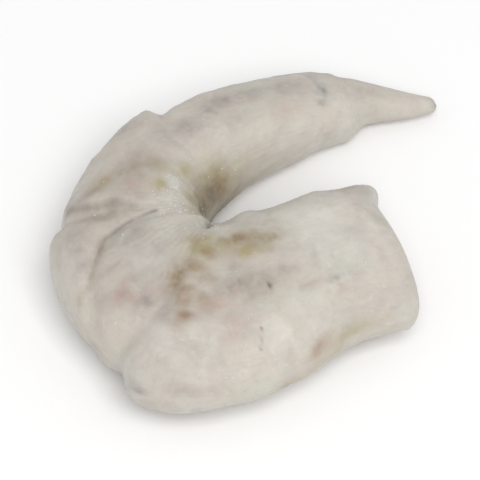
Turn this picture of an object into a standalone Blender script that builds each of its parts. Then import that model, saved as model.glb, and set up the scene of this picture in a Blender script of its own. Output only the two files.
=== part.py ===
"""A raw peeled shrimp with no head, shell or tail fan, curled up and lying on its side.

It is one piece of flesh. A ball of rings is pulled out along a curled spine, from the cut
head end to the pointed tip of the tail. Each ring takes the section of the body there, and
a relief of somite steps and creases, the groove under the belly, and soft lumps. Lengths
are in millimetres until the points are placed, in metres, +Z up.
"""

import math
from collections import namedtuple

import bmesh
import bpy
import numpy as np
from mathutils import Vector, noise

MM = 0.001
NODE_NAME = "peeled_shrimp"

# A stretch of the body: its length along the spine, and where it is widest how far the back
# and the belly are from the spine, and the thickness from side to side.
Stretch = namedtuple("Stretch", "name length back belly thickness")
STRETCHES = (
    Stretch("somite_1", 18.0, 11.3, 8.4, 15.4),
    Stretch("somite_2", 9.0, 16.2, 8.6, 16.0),
    Stretch("somite_3", 6.5, 12.6, 9.5, 15.8),
    Stretch("somite_4", 4.6, 11.0, 8.6, 15.0),
    Stretch("somite_5", 13.4, 8.4, 6.4, 13.5),
    Stretch("somite_6", 22.5, 6.5, 4.2, 11.0),
    Stretch("tail_root", 3.0, 3.7, 3.4, 7.4),
    Stretch("tail_tip", 8.7, 1.6, 1.2, 3.0),
)
WIDEST_AT = 0.65
HEAD_END = Stretch("head_end", 0.0, 13.6, 6.9, 13.6)
TIP_END = Stretch("tip_end", 0.0, 0.7, 0.6, 1.4)
SECTION_BLUR = 2.0

# A bend of the spine: its station from the head end, and how many degrees it turns there.
Bend = namedtuple("Bend", "station turn")
BENDS = (
    Bend(24.5, 67.0),
    Bend(32.5, 46.0),
    Bend(40.1, 35.2),
    Bend(49.2, 27.8),
    Bend(72.1, 24.2),
)
BEND_REACH = 4.4
LEAST_BEND = 0.01
FOLD_GAP = 0.7
START_HEADING = math.radians(209.5)
SPINE_STEP = 0.2

# The sections: how boxy they are, how much narrower the back is than the belly at first,
# how much narrower the belly is later on, and the stations between which this changes.
SECTION_POWER = 0.90
BACK_NARROWING = 0.10
BELLY_NARROWING = 0.12
NARROWING_CHANGE = (34.0, 48.0)

# The cut head end: a slanting face with a rounded rim and a shallow dish.
FACE_SHARE = 0.75
RIM_LENGTH = 2.6
FACE_DISH = 0.7
SLANT_REACH = 15.0
SLANT_AT_BACK = -2.0
SLANT_AT_FLANKS = -0.9
SLANT_AT_BELLY = 2.8

# The tail: the step under its root, where that step starts before the end of somite 6 and
# how long it falls, how round the tip is, and how much of the relief is left there.
ROOT_STEP = 1.6
ROOT_LEAD = 1.0
ROOT_FALL = 3.5
TIP_ROUNDING = 1.0
RELIEF_AT_TIP = 0.5

# A joint between somites: its station at the back and on the flanks, how far the rear edge
# of the somite before it stands proud at the back, and how deep the crease behind it is.
Joint = namedtuple("Joint", "back flank step crease")
JOINTS = (
    Joint(18.5, 20.5, 0.4, 0.15),
    Joint(27.5, 26.0, 2.2, 0.2),
    Joint(28.8, 34.4, 0.1, 0.55),
    Joint(37.4, 36.2, 0.8, 0.45),
    Joint(52.5, 49.0, 1.7, 0.3),
    Joint(74.0, 73.0, 0.5, 0.15),
)
STEP_FALL = 1.3
STEP_FADE_POWER = 3
CREASE_HALF_WIDTH = 1.0
# The cosines of the angle between which a crease fades out on its way to the belly.
CREASE_GONE_AT = -0.7
CREASE_FULL_AT = 0.2

# A long shallow furrow on each flank, between the muscles of the back and the belly.
FURROW_DEPTH = 0.35
FURROW_ANGLE = math.radians(64.0)
FURROW_HALF_WIDTH = 1.6
FURROW_FROM = 5.0
FURROW_TO = 68.0

# The belly of the head half: a groove along its middle, and a pair of low knobs where each
# leg was. Further on the belly is smooth.
BELLY_GROOVE = 0.8
BELLY_GROOVE_HALF_WIDTH = 1.5
BELLY_GROOVE_END = 32.0
BELLY_GROOVE_FADE = 8.0
KNOB_STATIONS = (7.0, 16.0)
KNOB_HEIGHT = 0.5
KNOB_ANGLE = math.radians(38.0)
KNOB_RADIUS = 2.2

# Soft lumps of the flesh, lower where the body is less than this thick from its middle.
LUMP_HEIGHTS = (0.38, 0.16)
LUMP_SIZES = (7.0, 3.2)
LUMP_FULL_THICKNESS = 5.0

# How the body lies: its underside is pressed flat where it rests, it arches a little under
# somite 6, and the tip of the tail lifts.
PRESS = 0.75
PRESS_BLEND = 0.4
PRESS_TRIM = 0.06
ARCH_HEIGHT = 0.7
ARCH_STATION = 58.0
ARCH_HALF_LENGTH = 7.0
TIP_LIFT = 1.6
TIP_LIFT_FROM = 72.0

# The mesh: points round a ring, and rings along the body, in the cut face and on its rim.
AROUND = 68
ALONG = 86
FACE_RINGS = 4
RIM_RINGS = 5

FLESH_COLOUR = (0.62, 0.57, 0.49, 1.0)
FLESH_ROUGHNESS = 0.45


def stretch_ends():
    """The stations at which the stretches end."""
    return np.cumsum([stretch.length for stretch in STRETCHES])


def smooth_step(x, low, high):
    t = np.clip((x - low) / (high - low), 0.0, 1.0)
    return t * t * (3.0 - 2.0 * t)


def bump(distance, half_width):
    """1 at no distance, falling smoothly to almost 0 at twice the half width."""
    return np.exp(-((distance / half_width) ** 2))


def blurred(values, width):
    """Values on the spine's own steps, blurred over the width in millimetres."""
    reach = int(3.0 * width / SPINE_STEP)
    offsets = np.arange(-reach, reach + 1) * SPINE_STEP
    weights = np.exp(-0.5 * (offsets / width) ** 2)
    padded = np.pad(values, reach, mode="edge")
    return np.convolve(padded, weights / weights.sum(), mode="valid")


class Spine:
    """The curled line that the body follows, and the size of the section along it."""

    def __init__(self):
        ends = stretch_ends()
        self.length = ends[-1]
        count = int(round(self.length / SPINE_STEP)) + 1
        self.station = np.linspace(0.0, self.length, count)
        bend = np.zeros(count)
        for place in BENDS:
            away = (self.station - place.station) / BEND_REACH
            rate = np.exp(-0.5 * away**2) / (BEND_REACH * math.sqrt(2.0 * math.pi))
            bend += math.radians(place.turn) * rate
        self.heading = START_HEADING - np.cumsum(bend) * SPINE_STEP
        self.x = np.cumsum(np.cos(self.heading)) * SPINE_STEP
        self.y = np.cumsum(np.sin(self.heading)) * SPINE_STEP
        lengths = np.array([stretch.length for stretch in STRETCHES])
        widest = ends - (1.0 - WIDEST_AT) * lengths
        knots = np.concatenate(([0.0], widest, [self.length]))
        self.back = self.size_along("back", knots)
        inner_room = 1.0 / np.maximum(bend, LEAST_BEND) - FOLD_GAP
        self.belly = np.minimum(self.size_along("belly", knots), inner_room)
        self.thickness = self.size_along("thickness", knots)
        outer = np.cumsum(1.0 + bend * self.back / 2.0)
        self.ring_share = (outer - outer[0]) / (outer[-1] - outer[0])

    def size_along(self, size, knots):
        rows = (HEAD_END, *STRETCHES, TIP_END)
        sizes = [getattr(row, size) for row in rows]
        return blurred(np.interp(self.station, knots, sizes), SECTION_BLUR)

    def at(self, values, station):
        return np.interp(station, self.station, values)


def ring_place(spine, t):
    """For t from 0 at the head end to 1 at the tip: the station of the ring, the share of
    the section that it takes, and how far it lies inside the cut face."""
    face_end = FACE_RINGS / ALONG
    rim_end = (FACE_RINGS + RIM_RINGS) / ALONG
    in_face = np.clip(t / face_end, 0.0, 1.0)
    in_rim = np.clip((t - face_end) / (rim_end - face_end), 0.0, 1.0)
    in_body = np.clip((t - rim_end) / (1.0 - rim_end), 0.0, 1.0)
    turn = in_rim * math.pi / 2.0
    start = np.interp(RIM_LENGTH, spine.station, spine.ring_share)
    along = np.interp(start + (1.0 - start) * in_body, spine.ring_share, spine.station)
    station = np.where(in_body > 0.0, along, RIM_LENGTH * (1.0 - np.cos(turn)))
    share = FACE_SHARE * in_face + (1.0 - FACE_SHARE) * np.sin(turn)
    to_tip = np.clip((station - spine.length) / TIP_ROUNDING + 1.0, 0.0, 1.0)
    share = share * np.sqrt(1.0 - to_tip**2)
    return station, share, FACE_DISH * (1.0 - in_face**2)


def somite_relief(station, angle):
    """Each somite swells towards its rear edge, then drops into a crease at the joint."""
    height = np.zeros_like(station)
    on_flank = np.where(np.cos(angle) > 0.0, np.sin(angle) ** 2, 1.0)
    at_back = ((1.0 + np.cos(angle)) / 2.0) ** STEP_FADE_POWER
    above_belly = smooth_step(np.cos(angle), CREASE_GONE_AT, CREASE_FULL_AT)
    before = np.zeros_like(station)
    for joint in JOINTS:
        edge = joint.back + (joint.flank - joint.back) * on_flank
        swell = smooth_step(station, before, edge - STEP_FALL / 2.0) ** 2
        drop = 1.0 - smooth_step(station, edge - STEP_FALL / 2.0, edge + STEP_FALL / 2.0)
        height += joint.step * at_back * swell * drop
        crease = bump(station - edge - STEP_FALL / 2.0, CREASE_HALF_WIDTH)
        height -= joint.crease * crease * above_belly
        before = edge
    return height


def flank_furrow(station, angle, half_depth):
    away = (np.abs(angle) - FURROW_ANGLE) * half_depth
    along = smooth_step(station, FURROW_FROM, 2.0 * FURROW_FROM)
    along = along * (1.0 - smooth_step(station, FURROW_TO - 2.0 * FURROW_FROM, FURROW_TO))
    return -FURROW_DEPTH * along * bump(away, FURROW_HALF_WIDTH)


def belly_relief(station, angle, half_depth):
    """The groove along the belly, and the pairs of knobs beside it."""
    from_belly = math.pi - np.abs(angle)
    along = smooth_step(station, 0.0, BELLY_GROOVE_FADE)
    along = along * smooth_step(BELLY_GROOVE_END - station, 0.0, BELLY_GROOVE_FADE)
    height = -BELLY_GROOVE * along * bump(from_belly * half_depth, BELLY_GROOVE_HALF_WIDTH)
    sideways = (from_belly - KNOB_ANGLE) * half_depth
    for place in KNOB_STATIONS:
        height += KNOB_HEIGHT * bump(np.hypot(station - place, sideways), KNOB_RADIUS)
    return height


def root_step(station, cosine, length):
    """The belly side steps in at the root of the tail, and comes back towards the tip."""
    start = stretch_ends()[5] - ROOT_LEAD
    fall = smooth_step(station, start, start + ROOT_FALL)
    back = smooth_step(station, start + ROOT_FALL, length - 2.0 * TIP_ROUNDING)
    return -ROOT_STEP * fall * (1.0 - back) * (1.0 - cosine) / 2.0


def lumps(points):
    """Soft uneven lumps, the same each time."""
    height = np.zeros(len(points))
    for size, amount in zip(LUMP_SIZES, LUMP_HEIGHTS):
        height += amount * np.array([noise.noise(Vector(p) / size) for p in points])
    return height


def lift(spine, station):
    """How far the body is off what it lies on, before it is pressed flat."""
    arch = ARCH_HEIGHT * bump(station - ARCH_STATION, ARCH_HALF_LENGTH)
    tip = TIP_LIFT * smooth_step(station, TIP_LIFT_FROM, spine.length)
    return arch + tip - PRESS


def pressed(z):
    """Heights with the underside flattened softly, and exactly flat at the lowest."""
    soft = (z + np.sqrt(z**2 + PRESS_BLEND**2)) / 2.0
    return np.maximum(soft - PRESS_TRIM, 0.0)


def body_points(spine, t, angle):
    """Points of the surface in millimetres. The angle is 0 at the back, a quarter turn at
    the upper flank and half a turn at the belly."""
    station, share, dish = ring_place(spine, t)
    back, belly = spine.at(spine.back, station), spine.at(spine.belly, station)
    half_depth = (back + belly) / 2.0
    half_thickness = spine.at(spine.thickness, station) / 2.0
    cosine, sine = np.cos(angle), np.sin(angle)
    out = np.sign(cosine) * np.abs(cosine) ** SECTION_POWER
    out = out * np.where(cosine > 0.0, back, belly)
    up = np.sign(sine) * np.abs(sine) ** SECTION_POWER
    change = smooth_step(station, *NARROWING_CHANGE)
    narrowing = BACK_NARROWING - (BACK_NARROWING + BELLY_NARROWING) * change
    up = up * (1.0 - narrowing * cosine) * half_thickness
    relief = somite_relief(station, angle)
    relief += flank_furrow(station, angle, half_depth)
    relief += belly_relief(station, angle, half_depth)
    relief += root_step(station, cosine, spine.length)
    on_tail = smooth_step(station, stretch_ends()[5], spine.length - TIP_ROUNDING)
    relief = relief * share * (1.0 - (1.0 - RELIEF_AT_TIP) * on_tail)
    across = out * share + cosine * relief
    height = up * share + sine * relief
    slant = SLANT_AT_BACK * np.maximum(cosine, 0.0) ** 2 + SLANT_AT_FLANKS * sine**2
    slant = slant + SLANT_AT_BELLY * np.maximum(-cosine, 0.0) ** 2
    slant = slant * share * (1.0 - smooth_step(station, 0.0, SLANT_REACH))
    heading = spine.at(spine.heading, station)
    forward = dish - slant
    x = spine.at(spine.x, station) - np.sin(heading) * across + np.cos(heading) * forward
    y = spine.at(spine.y, station) + np.cos(heading) * across + np.sin(heading) * forward
    z = height + half_thickness + lift(spine, station)
    points = np.stack([x, y, z], axis=1)
    outward = np.stack([-np.sin(heading) * cosine, np.cos(heading) * cosine, sine], axis=1)
    lump_share = share * np.minimum(half_thickness / LUMP_FULL_THICKNESS, 1.0)
    points += outward * (lumps(points) * lump_share)[:, None]
    points[:, 2] = pressed(points[:, 2])
    return points


def flesh_material():
    material = bpy.data.materials.new("raw_flesh")
    material.use_nodes = True
    shader = material.node_tree.nodes["Principled BSDF"]
    shader.inputs["Base Color"].default_value = FLESH_COLOUR
    shader.inputs["Roughness"].default_value = FLESH_ROUGHNESS
    shader.inputs["Metallic"].default_value = 0.0
    return material


def shrimp_mesh():
    """A ball of rings, each point moved to its place on the body."""
    ball = bmesh.new()
    bmesh.ops.create_uvsphere(ball, u_segments=AROUND, v_segments=ALONG, radius=1.0)
    poles = np.array([vertex.co for vertex in ball.verts])
    t = np.arccos(np.clip(poles[:, 2], -1.0, 1.0)) / math.pi
    angle = np.arctan2(poles[:, 1], poles[:, 0])
    points = body_points(Spine(), t, angle)
    middle = (points.min(axis=0) + points.max(axis=0)) / 2.0
    points[:, :2] -= middle[:2]
    for vertex, point in zip(ball.verts, points):
        vertex.co = Vector(point * MM)
    bmesh.ops.recalc_face_normals(ball, faces=ball.faces)
    mesh = bpy.data.meshes.new(NODE_NAME)
    ball.to_mesh(mesh)
    ball.free()
    mesh.shade_smooth()
    return mesh


def main():
    for old in list(bpy.data.objects):
        bpy.data.objects.remove(old)
    collection = bpy.data.collections.new("raw peeled shrimp")
    bpy.context.scene.collection.children.link(collection)
    shrimp = bpy.data.objects.new(NODE_NAME, shrimp_mesh())
    shrimp.data.materials.append(flesh_material())
    collection.objects.link(shrimp)


if __name__ == "__main__":
    main()
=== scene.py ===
"""The looks of a raw peeled shrimp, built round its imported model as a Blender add-on.

The flesh is pulled out along the curled spine again, as in the part's own source, but with
finer rings, folds and grain. Stains, folds and frost are masks on its points, placed by
station (millimetres along the spine from the cut head end) and angle (degrees round the
body: 0 at the back, 90 at the upper flank, 180 at the belly, less than 0 underneath).
Lengths are in millimetres until the points are placed, in metres, +Z up.
"""

import math
import random
from collections import namedtuple

import bmesh
import bpy
import numpy as np
from mathutils import Matrix, Vector, noise


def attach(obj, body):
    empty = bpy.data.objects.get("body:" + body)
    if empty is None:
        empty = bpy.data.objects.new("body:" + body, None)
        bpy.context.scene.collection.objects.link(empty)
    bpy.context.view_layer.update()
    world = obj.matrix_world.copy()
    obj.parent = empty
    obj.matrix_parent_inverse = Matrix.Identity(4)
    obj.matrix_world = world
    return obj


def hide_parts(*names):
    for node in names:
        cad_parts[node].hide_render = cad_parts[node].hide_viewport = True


bl_info = {
    "name": "Raw peeled shrimp",
    "version": (1, 0, 0),
    "blender": (4, 5, 0),
    "location": "3D View > Sidebar > Shrimp",
    "description": "Pale frosted flesh for a raw peeled shrimp, and a plain studio",
    "category": "Object",
}

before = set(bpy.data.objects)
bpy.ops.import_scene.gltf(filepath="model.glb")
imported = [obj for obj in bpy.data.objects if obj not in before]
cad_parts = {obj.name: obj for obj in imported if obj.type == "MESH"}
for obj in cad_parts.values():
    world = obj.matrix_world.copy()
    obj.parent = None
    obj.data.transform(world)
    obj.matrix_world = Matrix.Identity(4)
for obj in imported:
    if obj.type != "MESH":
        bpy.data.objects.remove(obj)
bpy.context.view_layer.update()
NODE = "peeled_shrimp"
BODY = "root"
MM = 0.001

# The form of the body, as in the part's own source. A stretch has its length along the
# spine, and where it is widest how far the back and the belly are from the spine, and the
# thickness from side to side.
Stretch = namedtuple("Stretch", "name length back belly thickness")
STRETCHES = (
    Stretch("somite_1", 18.0, 11.3, 8.4, 15.4),
    Stretch("somite_2", 9.0, 16.2, 8.6, 16.0),
    Stretch("somite_3", 6.5, 12.6, 9.5, 15.8),
    Stretch("somite_4", 4.6, 11.0, 8.6, 15.0),
    Stretch("somite_5", 13.4, 8.4, 6.4, 13.5),
    Stretch("somite_6", 22.5, 6.5, 4.2, 11.0),
    Stretch("tail_root", 3.0, 3.7, 3.4, 7.4),
    Stretch("tail_tip", 8.7, 1.6, 1.2, 3.0),
)
HEAD_END = Stretch("head_end", 0.0, 13.6, 6.9, 13.6)
TIP_END = Stretch("tip_end", 0.0, 0.7, 0.6, 1.4)
# Where along itself a stretch is widest, as a share of its length, and how softly one passes
# into the next: the width of the blur, and how many widths it reaches each way.
WIDEST_AT = 0.65
SECTION_BLUR = 2.0
BLUR_WIDTHS = 3.0

# A bend of the spine: its station, and how many degrees it turns there.
Bend = namedtuple("Bend", "station degrees")
BENDS = (
    Bend(24.5, 67.0),
    Bend(32.5, 46.0),
    Bend(40.1, 35.2),
    Bend(49.2, 27.8),
    Bend(72.1, 24.2),
)
# How far a bend reaches along the spine, the least bend that counts, and how far the belly
# stays from the middle of its turn.
BEND_REACH = 4.4
LEAST_BEND = 0.01
FOLD_GAP = 0.7
START_HEADING = math.radians(209.5)
SPINE_STEP = 0.2

# The sections: how boxy they are, how much narrower the back is than the belly at first,
# how much narrower the belly is later on, and the stations between which this changes.
SECTION_POWER = 0.90
BACK_NARROWING = 0.10
BELLY_NARROWING = 0.12
NARROWING_CHANGE = (34.0, 48.0)

# The cut head end: a slanting face with a rounded rim and a shallow dish. A slant is how far
# out the face stands at the back, the flanks and the belly.
FACE_SHARE = 0.75
RIM_LENGTH = 2.6
FACE_DISH = 0.7
SLANT_REACH = 15.0
SLANT_AT_BACK = -2.0
SLANT_AT_FLANKS = -0.9
SLANT_AT_BELLY = 2.8

# The tail: the step under its root, where that step starts before the end of somite 6 and
# how long it falls, how round the tip is, and how much of the relief is left there.
ROOT_STEP = 1.6
ROOT_LEAD = 1.0
ROOT_FALL = 3.5
TIP_ROUNDING = 1.0
RELIEF_AT_TIP = 0.5

# A joint between somites: its station at the back and on the flanks, how far the rear edge
# of the somite before it stands proud at the back, and how deep the crease behind it is.
Joint = namedtuple("Joint", "back flank step crease")
JOINTS = (
    Joint(18.5, 20.5, 0.4, 0.15),
    Joint(27.5, 26.0, 2.2, 0.2),
    Joint(28.8, 34.4, 0.1, 0.55),
    Joint(37.4, 36.2, 0.8, 0.45),
    Joint(52.5, 49.0, 1.7, 0.3),
    Joint(74.0, 73.0, 0.5, 0.15),
)
# How long the drop behind a rear edge is, how fast it fades out on its way down the flank,
# and half the width of a crease.
STEP_FALL = 1.3
STEP_FADE_POWER = 3
CREASE_HALF_WIDTH = 1.0
# The cosines of the angle between which a crease fades out on its way to the belly.
CREASE_GONE_AT = -0.7
CREASE_FULL_AT = 0.2

# A long shallow furrow on each flank, between the muscles of the back and the belly.
FURROW_DEPTH = 0.35
FURROW_ANGLE = math.radians(64.0)
FURROW_HALF_WIDTH = 1.6
FURROW_FROM = 5.0
FURROW_TO = 68.0

# The belly of the head half: a groove along its middle, and a pair of low knobs where each
# leg was. Further on the belly is smooth.
BELLY_GROOVE = 0.8
BELLY_GROOVE_HALF_WIDTH = 1.5
BELLY_GROOVE_END = 32.0
BELLY_GROOVE_FADE = 8.0
KNOB_STATIONS = (7.0, 16.0)
KNOB_HEIGHT = 0.5
KNOB_ANGLE = math.radians(38.0)
KNOB_RADIUS = 2.2

# Soft lumps of the flesh, lower where the body is less than this thick from its middle.
LUMP_HEIGHTS = (0.38, 0.16)
LUMP_SIZES = (7.0, 3.2)
LUMP_FULL_THICKNESS = 5.0

# How the body lies: its underside is pressed flat where it rests, it arches a little under
# somite 6, and the tip of the tail lifts.
PRESS = 0.75
PRESS_BLEND = 0.4
PRESS_TRIM = 0.06
ARCH_HEIGHT = 0.7
ARCH_STATION = 58.0
ARCH_HALF_LENGTH = 7.0
TIP_LIFT = 1.6
TIP_LIFT_FROM = 72.0

# The shares of the rings that are in the cut face and on its rim.
FACE_RING_SHARE = 0.06
RIM_RING_SHARE = 0.05

# A fold or scratch drawn on the flesh, or a band of painted light or shade along one: its path of
# (station, angle), how wide and deep its groove is, and the stain or painted light or shade in it
# and how strong that is.
Stroke = namedtuple("Stroke", "name path half_width depth stain amount")
STROKES = (
    Stroke(
        "joint crease", ((35.8, 98), (35.3, 85), (34.8, 75), (34.3, 62), (33.0, 51)),
        0.36, 0.17, "grey", 0.95,
    ),
    Stroke(
        "lower joint crease", ((33.0, 51), (32.2, 42), (31.7, 34)), 0.34, 0.10, "brown", 0.45
    ),
    # Painted light: a cream band along the fall of the step behind the lobe, over its shade.
    Stroke("lobe edge", ((27.3, 10), (26.9, 30), (26.6, 46)), 1.4, 0.0, "cream", 0.45),
    Stroke(
        "joint tint", ((34.3, 62), (32.8, 50), (31.8, 36), (31.5, 22)),
        0.6, 0.0, "brown", 0.35,
    ),
    # Painted shade: a broad grey band beside the joint crease, with no groove.
    Stroke(
        "joint shade", ((35.3, 85), (34.8, 75), (34.2, 62), (33.0, 50)),
        1.6, 0.0, "grey", 0.35,
    ),
    Stroke(
        "upper fold", ((37.2, 84), (38.0, 70), (38.0, 54), (38.4, 40), (38.8, 26)),
        0.8, 0.12, "grey", 0.75,
    ),
    Stroke("upper fold tint", ((38.0, 66), (38.2, 48), (38.6, 30)), 0.5, 0.05, "brown", 0.3),
    Stroke(
        "brown fold", ((44.6, 88), (42.7, 82), (41.9, 70), (41.0, 58), (40.2, 52)),
        1.3, 0.12, "brown", 0.4,
    ),
    Stroke("brown fold end", ((40.4, 55), (39.8, 48), (39.2, 40)), 0.8, 0.10, "grey", 0.4),
    Stroke("scratch", ((20.6, 48), (20.9, 34)), 0.14, 0.08, "dark", 0.4),
    Stroke("flank line", ((15.7, 60), (13.0, 58), (10.6, 48)), 0.3, 0.05, "pink", 0.45),
    Stroke("inner wrinkle", ((37.6, 104), (38.4, 128)), 0.3, 0.14, "olive", 0.3),
    Stroke("inner wrinkle", ((41.0, 108), (41.6, 136)), 0.3, 0.14, "grey", 0.3),
    Stroke("inner wrinkle", ((44.6, 112), (44.4, 142)), 0.35, 0.16, "olive", 0.4),
    Stroke("tail crease", ((70.4, 66), (71.2, 92), (70.0, 112)), 0.5, 0.06, "blue", 0.3),
)
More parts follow.
